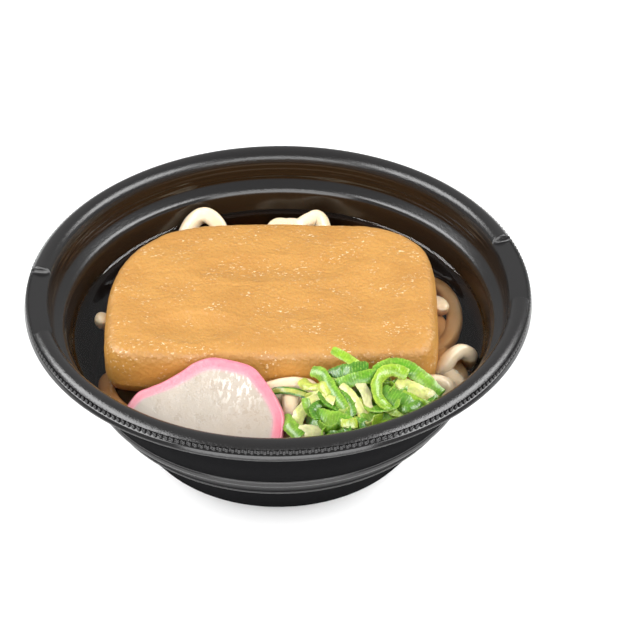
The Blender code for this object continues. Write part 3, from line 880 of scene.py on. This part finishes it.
def addRibbon(store, route, width, green, face=(0, 0, 1), curl=0.0):
    # a cut strip along a route; face is the way its outer side looks, curl cups it across its width
    points, faces, tints, along = store
    count = 9 * (len(route) - 1) + 1
    line = [p * mm for p in smoothLine(route, count)]
    outer, inner = onionGreens[green]
    across, travelled = 8, 0.0
    look = Vector(face).normalized()
    rows = []
    for i, spot in enumerate(line):
        way = (line[min(i + 1, count - 1)] - line[max(i - 1, 0)]).normalized()
        look = (look - way * look.dot(way)).normalized()
        side = way.cross(look)
        travelled += (spot - line[i - 1]).length if i else 0
        half = width * 0.56 * mm * (1 + 0.16 * noise.noise(spot * 260) + 0.04 * math.sin(travelled * 3100))
        end = min(i, count - 1 - i)
        half *= (0.72, 0.9)[end] if end < 2 else 1
        row = []
        for skin in (1, -1):
            for k in range(across):
                u = (k / (across - 1) * 2 - 1) * skin
                cup = -curl * (u * half) ** 2 / (width * mm)
                cup += 0.35 * mm * noise.noise(spot * 420 + Vector((u * 0.8, 3, 0)))
                lift = onion["thick"] / 2 * mm * skin * (1 - 0.35 * abs(u) ** 6)
                row.append(len(points))
                points.append(spot + side * (u * half) + look * (cup + lift))
                shade = outer if skin > 0 else inner
                rib = 1 if green == "thin" else 0.85 + 0.35 * noise.noise(spot * 500 + Vector((k, skin, 0)))
                edge = 0.7 * abs(u) ** 4
                edge += (1 - edge) * smoothStep(0.5 + 1.6 * noise.noise(spot * 110 + Vector((0, 0, 7)))) * 0.6
                if green == "thin" and abs(u) > 0.6:
                    shade, edge = onionGreens["deep"][0], 0
                tints.append(tuple(rib * (c + (inner[n] - c) * edge) for n, c in enumerate(shade)))
                along.append(travelled / mm)
        rows.append(row)
    faces += loft(rows)
    faces.append(tuple(rows[-1]))
    faces.append(tuple(reversed(rows[0])))


def onionSpot(u, v):
    # from along and across the heap to the bowl's own x and y
    cx, cy = onion["centre"]
    turn = math.radians(onion["turn"])
    return cx + u * math.cos(turn) - v * math.sin(turn), cy + u * math.sin(turn) + v * math.cos(turn)


def onionTop(x, y):
    # height of the heap over its base
    cx, cy = onion["centre"]
    turn = math.radians(onion["turn"])
    u = ((x - cx) * math.cos(turn) + (y - cy) * math.sin(turn)) / onion["halfLength"]
    v = (-(x - cx) * math.sin(turn) + (y - cy) * math.cos(turn)) / onion["halfDepth"]
    share = min(1.0, math.hypot(u, v))
    return onion["rise"] * math.sqrt(max(0.0, 1 - share ** 2.6)) * (1 + 0.16 * v)


def makeOnion(material):
    store = ([], [], [], [])
    base = onion["base"]
    for green, width, curl, face, route in onionStrips:
        addRibbon(store, route, width, green, face, curl)
    # loose strips and rings over the heap
    rng = random.Random(onion["seed"])
    names = ["deep", "leaf", "leaf", "bright", "bright", "lime", "pale", "white"]
    for _ in range(onion["loose"]):
        reach = math.sqrt(rng.random()) * 0.97
        angle = rng.uniform(0, 2 * math.pi)
        u, v = reach * onion["halfLength"] * math.cos(angle), reach * onion["halfDepth"] * math.sin(angle)
        x, y = onionSpot(u, v)
        y = min(y, tofuLow.y - 2.5)
        if x < onion["bareEnd"]:
            x = 2 * onion["bareEnd"] - x
        away = math.hypot(x, y)
        if away > onion["reach"]:
            x, y = x * onion["reach"] / away, y * onion["reach"] / away
        z = base + onionTop(x, y) * rng.uniform(0.6, 0.82)
        bendRadius = rng.uniform(2.5, 7.0)
        sweep = rng.choice((1.6, 2.6, 3.6, 5.6)) * rng.uniform(0.8, 1.1)
        start = rng.uniform(0, 2 * math.pi)
        tiltA, tiltB = rng.uniform(-0.5, 0.5), rng.uniform(-0.5, 0.5)
        route = []
        for k in range(6):
            a = start + sweep * k / 5
            dx, dy = bendRadius * math.cos(a), bendRadius * math.sin(a)
            route.append((x + dx, y + dy, z + tiltA * dx + tiltB * dy + 0.6 * k / 5))
        standing = rng.random() < 0.55
        face = (math.cos(start), math.sin(start), 0.15) if standing else (rng.uniform(-0.4, 0.4), -0.4, 1)
        addRibbon(store, route, rng.uniform(2.2, 4.2), rng.choice(names), face, rng.uniform(0.1, 0.5))
    points, faces, tints, along = store
    limited = []
    for p in points:  # nothing reaches the wall or the roll of the rim
        reach = math.hypot(p.x, p.y)
        most = 80.5 * mm + max(0.0, p.z - 46 * mm) * 0.2
        if reach > most:
            p = Vector((p.x * most / reach, p.y * most / reach, p.z))
        limited.append(p)
    makePiece("onion_strips", limited, faces, material, ["green_onion"],
              {"tint": tints, "along": along}, 50)
    # core under the strips
    points, rows, tints = [], [], []
    for level in range(9):
        share = math.cos(math.pi / 2 * level / 9) * 0.9
        row = []
        for k in range(72):
            angle = 2 * math.pi * k / 72
            u, v = share * onion["halfLength"] * math.cos(angle), share * onion["halfDepth"] * math.sin(angle)
            x, y = onionSpot(u, v)
            y = min(y, tofuLow.y - 1.5)
            z = base - 2 + (onionTop(x, y) * 0.8 if level else 0)
            z += 0.7 * noise.noise(Vector((x / 2.5, y / 2.5, 2))) if level else 0
            row.append(len(points))
            points.append(Vector((x, y, z)) * mm)
            tints.append(onionGreens["deep"][0])
        rows.append(row)
    faces = loft(rows)
    faces.append(tuple(rows[-1]))
    faces.append(tuple(reversed(rows[0])))
    makePiece("onion_core", points, faces, material, ["green_onion"],
              {"tint": tints, "along": [0.0] * len(points)})


makeOnion(newMaterial("onionSkin", onionSkin))
print("green onion made")


# broth: clear and brown, drawn up a little where it meets the wall and the tofu

broth = {  # lengths in mm
    "level": 43.0,
    "rings": 110,
    "steps": 300,
    "wallClimb": 1.0,
    "wallReach": 1.0833,
    "tofuClimb": 0.8,
    "tofuReach": 1.1,
}


def brothLook(wire):
    ripple = wire.noise(0.02, 2.0, 0.4)
    tilt = wire.bump(ripple, 0.0006, 0.15)
    mirror = wire.node("BsdfGlossy", {}, {"Color": (1, 1, 1, 1), "Roughness": 0.03, "Normal": tilt})
    clear = wire.node("BsdfTransparent", {}, {"Color": (1, 1, 1, 1)})
    gloss = wire.node("Fresnel", {}, {"IOR": 1.33, "Normal": tilt})
    surface = wire.node("MixShader", {}, {0: gloss, 1: clear, 2: mirror})
    tint = wire.node("VolumeAbsorption", {}, {"Color": (0.80, 0.50, 0.05, 1), "Density": 150.0})
    return surface, tint


def tofuDistance(x, y, outline):
    return min(math.hypot(x - p.x, y - p.y) for p in outline)


def makeBroth(material):
    level = broth["level"]
    edge = wallAt(level)
    outline = tofuOutline(1.2, 150)
    steps = broth["steps"]
    points, rows = [], []
    for height in (3.4, 6, 12, 18, 24, 30, 36, 41):  # hidden side, just inside the wall's sheet
        reach = wallAt(height) + 0.25
        row = []
        for k in range(steps):
            angle = 2 * math.pi * k / steps
            row.append(len(points))
            points.append(Vector((reach * math.cos(angle), reach * math.sin(angle), height)) * mm)
        rows.append(row)
    for i in range(broth["rings"]):
        share = (i / broth["rings"]) ** 1.35
        reach = (edge + 0.45) * (1 - share)
        climb = broth["wallClimb"] * math.exp(-(edge - reach) / broth["wallReach"])
        row = []
        for k in range(steps):
            angle = 2 * math.pi * k / steps
            x, y = reach * math.cos(angle), reach * math.sin(angle)
            z = level + climb
            near = tofuDistance(x, y, outline)
            if near < 5:
                z += broth["tofuClimb"] * math.exp(-near / broth["tofuReach"])
            row.append(len(points))
            points.append(Vector((x, y, z)) * mm)
        rows.append(row)
    faces = loft(rows)
    faces.append(tuple(rows[-1]))
    faces.append(tuple(reversed(rows[0])))
    makePiece("broth_body", points, faces, material, ["broth"])


makeBroth(newMaterial("brothLook", brothLook))
print("broth made")


# floor, light and camera

studio = {
    "target": (16.39, 17.12, 35.0),  # mm
    "distance": 900.65,  # mm
    "elevation": 38.06,
    "lens": 123.86,
    "floorHalf": 3.0,
    "floorGap": 0.0002,  # the bowl stands just clear of the floor
    "lamps": {  # place, size, power
        "leftBox": ((-0.69, -0.05, 0.67), (1.0, 0.42), 13.0),
        "rightBox": ((0.69, -0.05, 0.67), (1.0, 0.42), 13.0),
        "frontCard": ((0.0, -0.88, 0.42), (1.4, 0.5), 11.5),
    },
}


def floorPaint(wire):
    return wire.node("BsdfPrincipled", inputs={
        "Base Color": wire.noise(0.4).mix((0.87, 0.87, 0.87), (0.89, 0.89, 0.89)),
        "Roughness": 0.9,
    })


def makeFloor():
    half = studio["floorHalf"]
    corners = [(x * half, y * half, -studio["floorGap"]) for x, y in ((-1, -1), (1, -1), (1, 1), (-1, 1))]
    mesh = bpy.data.meshes.new("floor")
    mesh.from_pydata(corners, [], [(0, 1, 2, 3)])
    mesh.materials.append(newMaterial("floorPaint", floorPaint))
    floor = bpy.data.objects.new("floor", mesh)
    bpy.context.scene.collection.objects.link(floor)


def makeLight(name, place, size, power, aim=(0, 0, 0.05)):
    data = bpy.data.lights.new(name, "AREA")
    data.shape = "RECTANGLE"
    data.size, data.size_y = size
    data.energy = power
    lamp = bpy.data.objects.new(name, data)
    lamp.location = place
    lamp.rotation_euler = (Vector(aim) - Vector(place)).to_track_quat("-Z", "Y").to_euler()
    bpy.context.scene.collection.objects.link(lamp)


def makeStudio():
    scene = bpy.context.scene
    scene.view_settings.view_transform = "Standard"
    world = bpy.data.worlds.new("studio")
    world.use_nodes = True
    wire = Wire(world.node_tree)
    way = wire.node("TexCoord")  # the direction looked in
    depth = wire.node("SeparateXYZ", {}, {0: way}, 1)
    light = depth.band(-0.5, 0.9) * 0.24 + 0.28  # brighter towards the back
    back = world.node_tree.nodes["Background"]
    back.inputs["Color"].default_value = (1, 1, 1, 1)
    world.node_tree.links.new(light.socket, back.inputs["Strength"])
    scene.world = world
    for name, (place, size, power) in studio["lamps"].items():
        makeLight(name, place, size, power)
    data = bpy.data.cameras.new("camera")
    data.lens = studio["lens"]
    data.sensor_width = 36.0
    camera = bpy.data.objects.new("camera", data)
    tilt = math.radians(studio["elevation"])
    away = Vector((0, -math.cos(tilt), math.sin(tilt))) * studio["distance"]
    camera.location = (Vector(studio["target"]) + away) * mm
    camera.rotation_euler = (math.pi / 2 - tilt, 0, 0)
    scene.collection.objects.link(camera)
    scene.camera = camera


makeFloor()
makeStudio()
print("studio made")
